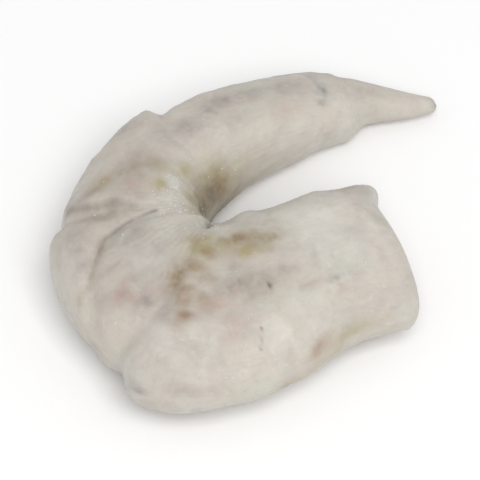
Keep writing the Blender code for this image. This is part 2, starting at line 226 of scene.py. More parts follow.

# A soft mark on the flesh: the kind of stain, its place, its half length along the body and
# half width round it on the flesh, and how strong it is. Some marks are painted light or shade, as
# said where they stand.
Mark = namedtuple("Mark", "stain station angle length width strength")
MARKS = (
    # Along the inner edge of the head half, where the gut shows through.
    Mark("brown", 19.6, 100, 1.2, 1.0, 1.25),
    Mark("brown", 21.6, 100, 1.2, 1.0, 0.75),
    Mark("brown", 15.8, 95, 1.0, 1.1, 0.8),
    Mark("brown", 18.6, 97, 4.0, 1.9, 0.65),
    Mark("brown", 17.3, 88, 1.6, 1.0, 0.35),
    Mark("olive", 19.8, 99, 2.6, 1.5, 0.6),
    Mark("olive", 23.4, 97, 2.6, 1.9, 0.55),
    Mark("olive", 19.4, 89, 1.7, 1.0, 1.2),
    Mark("olive", 16.8, 92, 1.6, 1.0, 0.5),
    Mark("olive", 22.6, 98, 1.7, 1.6, 0.65),
    Mark("olive", 25.3, 93, 1.9, 2.0, 1.2),
    Mark("olive", 24.6, 104, 1.6, 1.4, 0.8),
    Mark("brown", 24.4, 90, 1.5, 1.2, 0.7),
    Mark("brown", 26.6, 104, 1.6, 1.4, 0.35),
    Mark("brown", 25.3, 83, 1.7, 1.2, 0.8),
    Mark("grey", 21.5, 83, 1.6, 1.1, 0.6),
    # The upper flank of the head half, as far as the lobe at the bend.
    Mark("brown", 26.4, 76, 1.5, 2.6, 0.85),
    Mark("brown", 25.4, 68, 1.6, 1.8, 0.8),
    Mark("brown", 24.4, 79, 1.8, 1.5, 0.5),
    Mark("brown", 24.2, 67, 2.0, 1.3, 0.6),
    Mark("red", 25.3, 57, 1.0, 0.75, 1.0),
    Mark("brown", 25.3, 56, 1.4, 1.0, 0.6),
    Mark("red", 25.4, 52, 1.2, 1.1, 0.45),
    Mark("grey", 26.4, 54, 2.2, 1.4, 0.35),
    Mark("grey", 22.6, 59, 1.8, 1.2, 0.35),
    Mark("red", 25.9, 64, 1.0, 1.4, 0.35),
    Mark("pink", 29.4, 50, 1.0, 0.9, 1.1),
    Mark("pink", 28.8, 55, 1.1, 0.7, 0.8),
    Mark("pink", 29.9, 57, 0.8, 0.8, 0.7),
    Mark("red", 29.4, 52, 0.6, 0.6, 0.4),
    Mark("grey", 29.3, 54, 2.0, 1.6, 0.55),
    Mark("grey", 28.2, 60, 0.8, 0.7, 0.5),
    Mark("pink", 27.8, 64, 1.4, 1.0, 0.4),
    Mark("grey", 28.0, 58, 1.8, 2.2, 0.65),
    Mark("grey", 29.6, 62, 1.2, 1.3, 0.5),
    Mark("grey", 30.0, 42, 1.8, 1.6, 0.35),
    Mark("pink", 24.2, 62, 1.2, 0.8, 0.7),
    Mark("pink", 23.2, 65, 1.2, 0.9, 0.6),
    Mark("grey", 23.8, 63, 1.8, 1.2, 0.4),
    Mark("grey", 20.6, 73, 5.0, 2.0, 0.7),
    Mark("brown", 20.4, 72, 4.6, 1.8, 0.25),
    Mark("grey", 16.1, 72, 1.4, 1.0, 0.75),
    Mark("grey", 27.8, 70, 3.0, 2.2, 0.4),
    Mark("dark", 18.8, 69, 0.35, 0.35, 0.9),
    Mark("dark", 21.4, 75, 0.25, 0.25, 0.6),
    Mark("dark", 22.4, 71, 0.22, 0.22, 0.5),
    Mark("blue", 10.9, 55, 0.8, 0.5, 0.4),
    Mark("pink", 10.6, 44, 1.0, 0.7, 0.45),
    Mark("pink", 22.4, 51, 2.0, 1.8, 0.5),
    Mark("grey", 21.4, 48, 2.4, 1.6, 0.25),
    Mark("cream", 20.2, 42, 3.0, 2.0, 0.5),
    Mark("cream", 16.0, 46, 3.6, 2.4, 0.4),
    # The back of the head half.
    Mark("red", 16.4, 15, 0.9, 0.9, 0.55),
    Mark("pink", 15.8, 16, 1.4, 1.2, 0.5),
    Mark("brown", 16.8, 9, 1.2, 1.0, 0.45),
    Mark("olive", 15.0, 14, 1.6, 1.2, 0.4),
    Mark("olive", 12.0, 4, 4.0, 1.1, 0.6),
    Mark("pink", 24.7, 12, 2.0, 0.7, 0.3),
    Mark("grey", 24.7, 12, 2.4, 1.0, 0.45),
    Mark("grey", 26.6, 6, 1.3, 1.0, 0.7),
    Mark("grey", 25.6, 28, 5.0, 2.6, 0.22),
    # The cut end.
    Mark("cream", 8.3, 94, 4.4, 3.4, 0.8),
    Mark("cream", 5.0, 68, 2.6, 3.0, 0.4),
    Mark("grey", 6.6, 28, 4.0, 2.4, 0.22),
    Mark("cream", 2.6, 84, 0.6, 2.6, 0.5),
    Mark("pink", 3.6, 64, 0.6, 2.0, 0.35),
    Mark("pink", 2.8, 104, 0.5, 1.6, 0.3),
    # The outer side of the bend, from the lobe to the tail half.
    Mark("grey", 31.4, 55, 0.9, 1.8, 0.45),
    Mark("pink", 31.6, 62, 1.2, 1.0, 0.3),
    Mark("grey", 48.6, 78, 2.4, 2.0, 0.4),
    Mark("grey", 47.4, 42, 1.8, 1.8, 0.3),
    Mark("grey", 44.0, 74, 3.4, 2.4, 0.3),
    Mark("grey", 41.6, 73, 1.5, 1.5, 0.4),
    Mark("brown", 42.7, 80, 2.2, 1.3, 0.5),
    Mark("brown", 41.2, 84, 2.2, 1.8, 0.4),
    Mark("grey", 37.0, 60, 2.2, 4.0, 0.35),
    Mark("brown", 36.6, 66, 1.8, 3.6, 0.3),
    Mark("grey", 35.0, 44, 2.6, 2.6, 0.45),
    Mark("grey", 33.0, 43, 1.8, 2.0, 0.45),
    Mark("grey", 38.4, 88, 1.8, 1.8, 0.35),
    Mark("olive", 40.8, 60, 1.2, 1.0, 0.6),
    Mark("pink", 39.8, 84, 1.6, 1.4, 0.5),
    Mark("pink", 44.4, 72, 2.0, 1.6, 0.35),
    Mark("olive", 41.1, 101, 0.9, 0.8, 1.1),
    Mark("olive", 44.0, 95, 1.3, 1.3, 0.5),
    Mark("olive", 44.3, 103, 0.8, 0.7, 0.5),
    Mark("olive", 46.3, 115, 1.3, 1.2, 0.6),
    Mark("cream", 32.8, 30, 2.4, 1.6, 0.4),
    Mark("cream", 34.4, 10, 4.0, 2.0, 0.4),
    Mark("grey", 32.6, 80, 3.2, 2.4, 0.5),
    Mark("grey", 29.6, 84, 2.6, 1.8, 0.45),
    # The inner end of the gap: the olive and brown stain of the gut, with dark marks that are
    # partly that stain and partly painted shade deep in the fold.
    Mark("dark", 43.6, 157, 1.7, 1.9, 0.9),
    Mark("dark", 47.6, 160, 1.6, 1.8, 0.75),
    Mark("brown", 50.4, 163, 1.8, 2.2, 0.95),
    Mark("olive", 50.0, 172, 3.6, 1.4, 0.6),
    Mark("olive", 40.9, 140, 1.0, 1.4, 0.6),
    Mark("brown", 46.0, 151, 2.4, 2.6, 0.6),
    Mark("olive", 49.6, 148, 3.0, 2.6, 0.8),
    Mark("olive", 54.0, 164, 3.2, 2.0, 0.45),
    Mark("olive", 44.6, 158, 2.0, 2.2, 0.8),
    Mark("olive", 42.4, 138, 1.2, 1.6, 0.8),
    Mark("brown", 42.4, 140, 1.0, 1.4, 0.4),
    Mark("olive", 36.6, 138, 1.4, 1.6, 0.6),
    Mark("olive", 44.6, 112, 0.6, 0.6, 0.7),
    # Whitish frost on the fold: partly the frost's own colour, partly a painted highlight where
    # the fold glints.
    Mark("frost", 43.3, 108, 0.5, 0.8, 0.8),
    Mark("frost", 42.0, 116, 0.4, 0.7, 0.6),
    Mark("frost", 42.8, 110, 1.2, 1.4, 0.25),
    Mark("frost", 41.0, 120, 1.2, 1.8, 0.3),
    Mark("frost", 37.4, 112, 1.8, 1.8, 0.3),
    # The tail half and its tip.
    Mark("blue", 71.0, 90, 0.8, 0.9, 0.7),
    Mark("blue", 69.9, 110, 0.8, 0.6, 0.45),
    Mark("blue", 70.4, 66, 0.8, 0.6, 0.25),
    Mark("grey", 57.0, 71, 2.8, 1.7, 0.75),
    Mark("grey", 61.6, 72, 3.0, 1.7, 0.45),
    Mark("grey", 52.6, 82, 2.8, 1.6, 0.6),
    Mark("grey", 57.6, 94, 3.0, 1.6, 0.25),
    Mark("grey", 76.4, 84, 3.0, 1.2, 0.35),
    Mark("grey", 72.4, 40, 4.0, 1.4, 0.3),
    Mark("grey", 66.4, 80, 3.2, 1.6, 0.5),
    Mark("dark", 67.1, 74, 0.35, 0.3, 0.25),
    Mark("pink", 64.2, 112, 1.8, 1.4, 0.35),
    Mark("pink", 80.5, 120, 3.6, 1.1, 0.25),
    Mark("grey", 70.0, 188, 1.4, 1.0, 0.2),
    # Painted light: cream on the belly side of the tail half, lightening it where it faces down
    # and away from the light.
    Mark("cream", 60.0, 130, 5.0, 1.8, 0.3),
    Mark("cream", 65.0, 142, 3.0, 1.8, 0.45),
    Mark("cream", 62.0, 172, 7.0, 2.4, 0.6),
    Mark("cream", 74.4, 114, 2.0, 1.2, 0.2),
    Mark("cream", 72.6, 160, 1.8, 1.4, 0.5),
    Mark("cream", 83.0, 130, 4.0, 1.6, 0.5),
    Mark("blue", 88.0, 90, 0.6, 1.4, 0.5),
)

# How each stain breaks up: blots to a metre, and how uneven it is.
BREAK_UP = (
    ("cream", 500.0, 0.5),
    ("grey", 700.0, 0.6),
    ("olive", 600.0, 0.5),
    ("brown", 800.0, 0.45),
    ("pink", 800.0, 0.75),
    ("red", 900.0, 0.4),
    ("blue", 1100.0, 0.7),
    ("dark", 700.0, 0.35),
    ("frost", 1200.0, 0.8),
    ("cut", 600.0, 0.3),
)
# The noise of the blots: its octaves, and how far it is spread about its middle.
BLOT_DETAIL = 4.0
BLOT_CONTRAST = 4.0

# A layer of soft patches over the clean flesh: its colour, patches to a metre, where the
# cloud starts and is full, and how strong it is.
Layer = namedtuple("Layer", "colour pitch low high strength")
LAYERS = (
    Layer("cloudy", 260.0, 0.42, 0.68, 0.9),
    Layer("warm", 95.0, 0.40, 0.62, 0.8),
    Layer("greenish", 150.0, 0.50, 0.68, 0.6),
    Layer("cloudy", 1100.0, 0.48, 0.74, 0.5),
    Layer("rosy", 720.0, 0.54, 0.74, 0.5),
    Layer("cream", 620.0, 0.56, 0.76, 0.5),
)
# The noise of soft patches: its octaves, and how much it is twisted.
CLOUD_DETAIL = 4.0
CLOUD_DISTORTION = 0.5

# The colour of the fibres: where a streak starts and is full, how strong it is, and the
# octaves of its noise.
FIBRE_STREAK = (0.45, 0.72)
FIBRE_COLOUR_STRENGTH = 0.25
FIBRE_DETAIL = 3.0

# The grey specks in grey and brown stains: specks to a metre, their radius as a share of
# their spacing, and how strong they are.
SPECK_PITCH = 1300.0
SPECK_RADIUS = 0.34
SPECK_STRENGTH = 0.55
SPECKS_ON_BROWN = 0.5

# The lower side has the same kinds of mark, moved along the body and fainter.
LOWER_SIDE_SHIFT = 3.0
LOWER_SIDE_STRENGTH = 0.6

# Painted shade: the underside is laid over with the brown stain, darker near the floor, fading out
# between these heights.
UNDERSIDE_PAINTED_SHADE = 0.22
UNDERSIDE_EDGE = (0.3, 2.0)

# The edge of a mark is pushed about by coarse noise, and less by finer noise.
WARP_SIZE = 2.2
WARP_REACH = 0.5
WARP_FINENESS = 3.0
WARP_FINE_SHARE = 0.4
WARP_OFFSETS = ((11.0, 0.0, 0.0), (0.0, 23.0, 0.0))
# How deep a mark reaches into the body, as a share of its longer side.
MARK_DEPTH = 1.5

# The relief of the flesh: the size of its pits and grain, the length and width of a fibre,
# and the wrinkles beside a joint, with how far apart they are and how far they reach.
PIT_SIZE = 1.5
GRAIN_SIZE = 0.6
FIBRE_LENGTH = 5.0
FIBRE_WIDTH = 0.55
WRINKLE_PITCH = 0.8
WRINKLE_REACH = 2.5
WRINKLE_EVENNESS = 0.5

# The cut face: bundles of muscle, fine grain, the seam between its two sides, and how sharply
# all of this ends at the rim.
BUNDLE_SIZE = 1.9
BUNDLE_DEPTH = 0.22
FACE_GRAIN_DEPTH = 0.08
SEAM_DEPTH = 0.3
SEAM_HALF_WIDTH = 0.45
FACE_FADE_POWER = 4

# A small canal in the cut face, near the back or near the belly: how far it is from the
# spine towards the back, its radius and its depth.
Canal = namedtuple("Canal", "across radius depth")
CANALS = (Canal(6.2, 0.75, 0.9), Canal(-5.4, 0.45, 0.5))
CANAL_STAIN = 0.7

# From the middle of the cut face at 0 to its rim at 1: between which places the stains of
# the body start, and between which the colour of cut flesh ends.
STAINS_START = (0.6, 1.0)
CUT_COLOUR_ENDS = (0.75, 1.0)

# Duller patches on the flesh: patches to a metre, where one starts and is full, and how much
# shinier and duller than the middle roughness the flesh is.
DULL_PITCH = 350.0
DULL_EDGE = (0.35, 0.70)
SHINIER = 0.10
DULLER = 0.12

# The bump of the fibres and of the frost: how strong it is, how high in metres, and how fine.
BUMP_STRENGTH = 0.35
FIBRE_BUMP_HEIGHT = 0.00008
FIBRE_BUMP_FINENESS = 1.6
FROST_BUMP_HEIGHT = 0.00012
FROST_PITCH = 2600.0
FROST_DETAIL = 5.0
FROST_ROUGHNESS = 0.6

# How light goes into the flesh: how much of it, how far in metres, and how far for red,
# green and blue as shares of that.
LIGHT_INSIDE = 0.25
LIGHT_REACH = 0.0014
LIGHT_SHARES = (1.0, 0.75, 0.55)
FLESH_SPECULAR = 0.4

# The ice: how many crystals, their sizes from and to, how uneven each is, how likely it is
# away from the frosty places, and its width and height as shares of its length.
ICE_SEED = 7
ICE_GRAINS = 420
ICE_SIZES = (0.04, 0.13)
ICE_JITTER = 0.25
ICE_ELSEWHERE = 0.006
ICE_WIDTHS = (0.5, 1.0)
ICE_HEIGHTS = (0.4, 0.8)
# The finish of the ice: its clouds to a metre and their edge, its roughness from and to, and
# how much it bends light.
ICE_CLOUD_PITCH = 4000.0
ICE_CLOUD_EDGE = (0.35, 0.65)
ICE_ROUGHNESS = (0.18, 0.40)
ICE_REFRACTION = 1.31

# The floor's cells each way, its clouds to a metre, and its finish.
FLOOR_CELLS = 8
FLOOR_CLOUD_PITCH = 40.0
FLOOR_ROUGHNESS = (0.75, 0.9)
FLOOR_SPECULAR = 0.2

# Where the large soft light stands in metres, and the width of the camera's film in
# millimetres.
KEY_PLACE = (0.12, -0.44, 0.68)
FILM_WIDTH = 36.0
WHITE = (1.0, 1.0, 1.0, 1.0)

# How far apart the nodes of a material are laid out, and the column of its main shader.
COLUMN_WIDTH = 200.0
ROW_HEIGHT = -180.0
SHADER_COLUMN = 24

# The sockets of a colour mix, which share their names with those for other kinds of value.
MIX_FACTOR = 0
MIX_LOW = 6
MIX_HIGH = 7
MIX_RESULT = 2


class ShrimpFlesh(bpy.types.PropertyGroup):
    """Sizes and colours of the flesh."""

    points_round: bpy.props.IntProperty(
        name="Points round", description="Points in each ring round the body", default=236,
        min=24,
    )
    rings: bpy.props.IntProperty(
        name="Rings", description="Rings from the cut face to the tail tip", default=400, min=60
    )
    pit_height: bpy.props.FloatProperty(
        name="Pit height", description="Height of the soft uneven pits", default=0.00009,
        unit="LENGTH",
    )
    grain_height: bpy.props.FloatProperty(
        name="Grain height", description="Height of the fine grain", default=0.00003, unit="LENGTH"
    )
    fibre_height: bpy.props.FloatProperty(
        name="Fibre height", description="Height of the fibres along the body", default=0.00004,
        unit="LENGTH",
    )
    wrinkle_height: bpy.props.FloatProperty(
        name="Wrinkle height", description="Height of the wrinkles beside the joints",
        default=0.00005, unit="LENGTH",
    )
    roughness: bpy.props.FloatProperty(
        name="Roughness", description="Middle roughness of the frosted surface", default=0.52,
        min=0.0, max=1.0, subtype="FACTOR",
    )
    clean: bpy.props.FloatVectorProperty(
        name="Clean flesh", description="Pale grey-cream flesh", size=4, subtype="COLOR",
        default=(0.560, 0.532, 0.478, 1.0), min=0.0, max=1.0,
    )
    cloudy: bpy.props.FloatVectorProperty(
        name="Cloudy flesh", description="Greyer flesh in soft patches", size=4, subtype="COLOR",
        default=(0.470, 0.434, 0.385, 1.0), min=0.0, max=1.0,
    )
    warm: bpy.props.FloatVectorProperty(
        name="Warm flesh", description="Faintly pink flesh in wide patches", size=4,
        subtype="COLOR", default=(0.560, 0.508, 0.446, 1.0), min=0.0, max=1.0,
    )
    grey: bpy.props.FloatVectorProperty(
        name="Grey stain", description="Mauve-grey shadow under the skin", size=4,
        subtype="COLOR", default=(0.335, 0.298, 0.275, 1.0), min=0.0, max=1.0,
    )
    olive: bpy.props.FloatVectorProperty(
        name="Olive stain", description="Yellowish stain of the gut", size=4, subtype="COLOR",
        default=(0.400, 0.350, 0.212, 1.0), min=0.0, max=1.0,
    )
    brown: bpy.props.FloatVectorProperty(
        name="Brown stain", description="Tan-brown stain", size=4, subtype="COLOR",
        default=(0.300, 0.225, 0.140, 1.0), min=0.0, max=1.0,
    )
    red: bpy.props.FloatVectorProperty(
        name="Red stain", description="Red-brown spot", size=4, subtype="COLOR",
        default=(0.325, 0.225, 0.165, 1.0), min=0.0, max=1.0,
    )
    pink: bpy.props.FloatVectorProperty(
        name="Pink stain", description="Faint pink bloom", size=4, subtype="COLOR",
        default=(0.475, 0.362, 0.316, 1.0), min=0.0, max=1.0,
    )
    blue: bpy.props.FloatVectorProperty(
        name="Blue stain", description="Blue-grey specks", size=4, subtype="COLOR",
        default=(0.240, 0.250, 0.235, 1.0), min=0.0, max=1.0,
    )
    # The dark stain: the flesh's own dark specks and scratch, and painted shade deep in the fold
    # at the inner end of the gap.
    dark: bpy.props.FloatVectorProperty(
        name="Dark stain", description="Dark greenish brown deep in the fold", size=4,
        subtype="COLOR", default=(0.115, 0.088, 0.050, 1.0), min=0.0, max=1.0,
    )
    # The cream flesh is also painted light: along the fall of the step behind the lobe and on the
    # belly side of the tail half.
    cream: bpy.props.FloatVectorProperty(
        name="Cream flesh", description="The brightest flesh", size=4, subtype="COLOR",
        default=(0.650, 0.622, 0.565, 1.0), min=0.0, max=1.0,
    )
    greenish: bpy.props.FloatVectorProperty(
        name="Greenish flesh", description="Faintly green-grey flesh", size=4, subtype="COLOR",
        default=(0.545, 0.535, 0.465, 1.0), min=0.0, max=1.0,
    )
    rosy: bpy.props.FloatVectorProperty(
        name="Rosy flesh", description="Faintly rosy small patches", size=4, subtype="COLOR",
        default=(0.560, 0.495, 0.450, 1.0), min=0.0, max=1.0,
    )
    # The frost colour on the flesh is also a painted highlight where the fold glints.
    frost: bpy.props.FloatVectorProperty(
        name="Frost", description="Whitish frost on the flesh", size=4, subtype="COLOR",
        default=(0.600, 0.605, 0.575, 1.0), min=0.0, max=1.0,
    )
    ice: bpy.props.FloatVectorProperty(
        name="Ice", description="White crystals of ice", size=4, subtype="COLOR",
        default=(0.740, 0.750, 0.730, 1.0), min=0.0, max=1.0,
    )
    cut: bpy.props.FloatVectorProperty(
        name="Cut flesh", description="Flesh of the cut face", size=4, subtype="COLOR",
        default=(0.580, 0.535, 0.475, 1.0), min=0.0, max=1.0,
    )


class ShrimpStage(bpy.types.PropertyGroup):
    """The floor, the lights and the camera."""

    floor_size: bpy.props.FloatProperty(
        name="Floor size", description="Side of the square floor", default=3.0, unit="LENGTH"
    )
    floor_colour: bpy.props.FloatVectorProperty(
        name="Floor colour", description="Near white", size=4, subtype="COLOR",
        default=(0.95, 0.95, 0.95, 1.0), min=0.0, max=1.0,
    )
    sky: bpy.props.FloatProperty(
        name="Sky", description="Strength of the even light all round", default=0.62, min=0.0
    )
    key_power: bpy.props.FloatProperty(
        name="Key power", description="Power of the large soft light", default=4.0, unit="POWER"
    )
    key_size: bpy.props.FloatProperty(
        name="Key size", description="Side of the large soft light", default=0.5, unit="LENGTH"
    )
    elevation: bpy.props.FloatProperty(
        name="Elevation", description="The camera's angle above the floor",
        default=math.radians(50.0), subtype="ANGLE",
    )
    distance: bpy.props.FloatProperty(
        name="Distance", description="From the camera to what it looks at", default=0.8,
        unit="LENGTH",
    )
    window: bpy.props.FloatProperty(
        name="Window", description="Width of what the camera sees there", default=0.0588,
        unit="LENGTH",
    )
    target: bpy.props.FloatVectorProperty(
        name="Target", description="The point that the camera looks at", size=3,
        subtype="XYZ_LENGTH", default=(-0.0007, -0.0014, 0.0070),
    )


def stretch_ends():
    """The stations at which the stretches end."""
    return np.cumsum([stretch.length for stretch in STRETCHES])


def end_of(name):
    """The station at which the stretch of this name ends."""
    names = [stretch.name for stretch in STRETCHES]
    return stretch_ends()[names.index(name)]


def smooth_step(x, low, high):
    """0 below the low value, 1 above the high one, and a smooth rise between them."""
    t = np.clip((x - low) / (high - low), 0.0, 1.0)
    return t * t * (3.0 - 2.0 * t)


def bump(distance, half_width):
    """1 at no distance, falling smoothly to almost 0 at twice the half width."""
    return np.exp(-((distance / half_width) ** 2))


def blurred(values, width):
    """Values on the spine's own steps, blurred over the width in millimetres."""
    reach = int(BLUR_WIDTHS * width / SPINE_STEP)
    offsets = np.arange(-reach, reach + 1) * SPINE_STEP
    weights = np.exp(-0.5 * (offsets / width) ** 2)
    padded = np.pad(values, reach, mode="edge")
    return np.convolve(padded, weights / weights.sum(), mode="valid")


def noise_at(points):
    """Smooth noise from -1 to 1 at each point."""
    return np.array([noise.noise(Vector(point)) for point in points])


class Spine:
    """The curled line that the body follows, and the size of the section along it."""

    def __init__(self):
        ends = stretch_ends()
        self.length = ends[-1]
        count = int(round(self.length / SPINE_STEP)) + 1
        self.station = np.linspace(0.0, self.length, count)
        bend = np.zeros(count)
        for turn in BENDS:
            away = (self.station - turn.station) / BEND_REACH
            rate = np.exp(-0.5 * away**2) / (BEND_REACH * math.sqrt(2.0 * math.pi))
            bend += math.radians(turn.degrees) * rate
        self.heading = START_HEADING - np.cumsum(bend) * SPINE_STEP
        self.x = np.cumsum(np.cos(self.heading)) * SPINE_STEP
        self.y = np.cumsum(np.sin(self.heading)) * SPINE_STEP
        lengths = np.array([stretch.length for stretch in STRETCHES])
        widest = ends - (1.0 - WIDEST_AT) * lengths
        knots = np.concatenate(([0.0], widest, [self.length]))
        self.back = self.size_along("back", knots)
        inner_room = 1.0 / np.maximum(bend, LEAST_BEND) - FOLD_GAP
        self.belly = np.minimum(self.size_along("belly", knots), inner_room)
        self.thickness = self.size_along("thickness", knots)
        outer = np.cumsum(1.0 + bend * self.back / 2.0)
        self.ring_share = (outer - outer[0]) / (outer[-1] - outer[0])

    def size_along(self, size, knots):
        """One size of the section at each step, blurred between the stretches."""
        rows = (HEAD_END, *STRETCHES, TIP_END)
        sizes = [getattr(row, size) for row in rows]
        return blurred(np.interp(self.station, knots, sizes), SECTION_BLUR)

    def at(self, values, station):
        """Values on the spine's own steps, read at other stations."""
        return np.interp(station, self.station, values)


def ring_place(spine, t):
    """For t from 0 at the head end to 1 at the tip: the station of the ring, the share of
    the section that it takes, and how far it is from the middle of the cut face to its rim."""
    rim_end = FACE_RING_SHARE + RIM_RING_SHARE
    in_face = np.clip(t / FACE_RING_SHARE, 0.0, 1.0)
    in_rim = np.clip((t - FACE_RING_SHARE) / RIM_RING_SHARE, 0.0, 1.0)
    in_body = np.clip((t - rim_end) / (1.0 - rim_end), 0.0, 1.0)
    turn = in_rim * math.pi / 2.0
    start = np.interp(RIM_LENGTH, spine.station, spine.ring_share)
    along = np.interp(start + (1.0 - start) * in_body, spine.ring_share, spine.station)
    station = np.where(in_body > 0.0, along, RIM_LENGTH * (1.0 - np.cos(turn)))
    share = FACE_SHARE * in_face + (1.0 - FACE_SHARE) * np.sin(turn)
    to_tip = np.clip((station - spine.length) / TIP_ROUNDING + 1.0, 0.0, 1.0)
    share = share * np.sqrt(1.0 - to_tip**2)
    return station, share, in_face


def somite_relief(station, angle):
    """Each somite swells towards its rear edge, then drops into a crease at the joint."""
    height = np.zeros_like(station)
    on_flank = np.where(np.cos(angle) > 0.0, np.sin(angle) ** 2, 1.0)
    at_back = ((1.0 + np.cos(angle)) / 2.0) ** STEP_FADE_POWER
    above_belly = smooth_step(np.cos(angle), CREASE_GONE_AT, CREASE_FULL_AT)
    before = np.zeros_like(station)
    for joint in JOINTS:
        edge = joint.back + (joint.flank - joint.back) * on_flank
        swell = smooth_step(station, before, edge - STEP_FALL / 2.0) ** 2
        drop = 1.0 - smooth_step(station, edge - STEP_FALL / 2.0, edge + STEP_FALL / 2.0)
        height += joint.step * at_back * swell * drop
        crease = bump(station - edge - STEP_FALL / 2.0, CREASE_HALF_WIDTH)
        height -= joint.crease * crease * above_belly
        before = edge
    return height


def flank_furrow(station, angle, half_depth):
    """The shallow furrow along each flank."""
    away = (np.abs(angle) - FURROW_ANGLE) * half_depth
    along = smooth_step(station, FURROW_FROM, 2.0 * FURROW_FROM)
    along = along * (1.0 - smooth_step(station, FURROW_TO - 2.0 * FURROW_FROM, FURROW_TO))
    return -FURROW_DEPTH * along * bump(away, FURROW_HALF_WIDTH)


def belly_relief(station, angle, half_depth):
    """The groove along the belly, and the pairs of knobs beside it."""
    from_belly = math.pi - np.abs(angle)
    along = smooth_step(station, 0.0, BELLY_GROOVE_FADE)
    along = along * smooth_step(BELLY_GROOVE_END - station, 0.0, BELLY_GROOVE_FADE)
    height = -BELLY_GROOVE * along * bump(from_belly * half_depth, BELLY_GROOVE_HALF_WIDTH)
    sideways = (from_belly - KNOB_ANGLE) * half_depth
    for knob in KNOB_STATIONS:
        height += KNOB_HEIGHT * bump(np.hypot(station - knob, sideways), KNOB_RADIUS)
    return height


def root_step(station, cosine, length):
    """The belly side steps in at the root of the tail, and comes back towards the tip."""
    start = end_of("somite_6") - ROOT_LEAD
    fall = smooth_step(station, start, start + ROOT_FALL)
    back = smooth_step(station, start + ROOT_FALL, length - 2.0 * TIP_ROUNDING)
    return -ROOT_STEP * fall * (1.0 - back) * (1.0 - cosine) / 2.0


def lumps(points):
    """Soft uneven lumps, the same each time."""
    height = np.zeros(len(points))
    for size, amount in zip(LUMP_SIZES, LUMP_HEIGHTS):
        height += amount * noise_at(points / size)
    return height


def lift(spine, station):
    """How far the body is off what it lies on, before it is pressed flat."""
    arch = ARCH_HEIGHT * bump(station - ARCH_STATION, ARCH_HALF_LENGTH)
    tip = TIP_LIFT * smooth_step(station, TIP_LIFT_FROM, spine.length)
    return arch + tip - PRESS


def pressed(z):
    """Heights with the underside flattened softly, and exactly flat at the lowest."""
    soft = (z + np.sqrt(z**2 + PRESS_BLEND**2)) / 2.0
    return np.maximum(soft - PRESS_TRIM, 0.0)


def nearest_to(station, angle, half_depth, spot):
    """The index of the point nearest to a spot given as (station, degrees)."""
    around = (angle - math.radians(spot[1]) + math.pi) % (2.0 * math.pi) - math.pi
    return int(np.argmin((station - spot[0]) ** 2 + (around * half_depth) ** 2))


def path_distance(points, station, angle, half_depth, path):
    """How far points are from a path of (station, degrees), in millimetres."""
    stops = [points[nearest_to(station, angle, half_depth, spot)] for spot in path]
    nearest = np.full(len(points), np.inf)
    for start, end in zip(stops, stops[1:]):
        step = end - start
        share = np.clip((points - start) @ step / (step @ step), 0.0, 1.0)
        away = points - start - share[:, None] * step
        nearest = np.minimum(nearest, np.sqrt((away**2).sum(axis=1)))
    return nearest


def stroke_grooves(points, station, angle, half_depth):
    """The grooves of the folds and scratches."""
    height = np.zeros_like(station)
    for stroke in STROKES:
        away = path_distance(points, station, angle, half_depth, stroke.path)
        height -= stroke.depth * bump(away, stroke.half_width)
    return height


def fibre_places(station, angle, half_depth):
    """Where each point is among the fibres, which are long along the body and thin."""
    round_body = np.stack([np.cos(angle), np.sin(angle)], axis=1)
    round_body = round_body * (half_depth / FIBRE_WIDTH)[:, None]
    return np.column_stack([round_body, station / FIBRE_LENGTH])


def fine_relief(points, station, angle, half_depth, flesh):
    """Soft pits, fine grain, fibres along the body, and wrinkles beside the joints."""
    height = flesh.pit_height / MM * noise_at(points / PIT_SIZE)
    height += flesh.grain_height / MM * noise_at(points / GRAIN_SIZE)
    height += flesh.fibre_height / MM * noise_at(fibre_places(station, angle, half_depth))
    near_joint = np.zeros_like(station)
    for joint in JOINTS[:-1]:
        middle = (joint.back + joint.flank + STEP_FALL) / 2.0
        near_joint = np.maximum(near_joint, bump(station - middle, WRINKLE_REACH))
    wander = noise_at(points / WARP_SIZE)
    wave = np.sin((station / WRINKLE_PITCH + wander) * 2.0 * math.pi)
    return height + flesh.wrinkle_height / MM * near_joint * wave * (WRINKLE_EVENNESS + wander)


def inside_face(in_face):
    """1 in the middle of the cut face, falling to 0 at its rim."""
    return 1.0 - in_face**FACE_FADE_POWER


def in_canals(across, height):
    """How far each point is within each canal of the cut face, from 0 to 1."""
    return [bump(np.hypot(across - canal.across, height), canal.radius) for canal in CANALS]


def face_relief(points, across, height, in_face):
    """How far the cut face is sunk between its bundles, along its seam and in its canals."""
    sunk = BUNDLE_DEPTH * noise_at(points / BUNDLE_SIZE)
    sunk += FACE_GRAIN_DEPTH * noise_at(points / GRAIN_SIZE)
    sunk += SEAM_DEPTH * bump(height, SEAM_HALF_WIDTH)
    for canal, within in zip(CANALS, in_canals(across, height)):
        sunk += canal.depth * within
    return sunk * inside_face(in_face)


def plain_section(spine, station, angle):
    """How far the section reaches across towards the back, and up from the spine."""
    cosine, sine = np.cos(angle), np.sin(angle)
    back, belly = spine.at(spine.back, station), spine.at(spine.belly, station)
    across = np.sign(cosine) * np.abs(cosine) ** SECTION_POWER
    across = across * np.where(cosine > 0.0, back, belly)
    change = smooth_step(station, *NARROWING_CHANGE)
    narrowing = BACK_NARROWING - (BACK_NARROWING + BELLY_NARROWING) * change
    up = np.sign(sine) * np.abs(sine) ** SECTION_POWER
    up = up * (1.0 - narrowing * cosine) * (spine.at(spine.thickness, station) / 2.0)
    return across, up


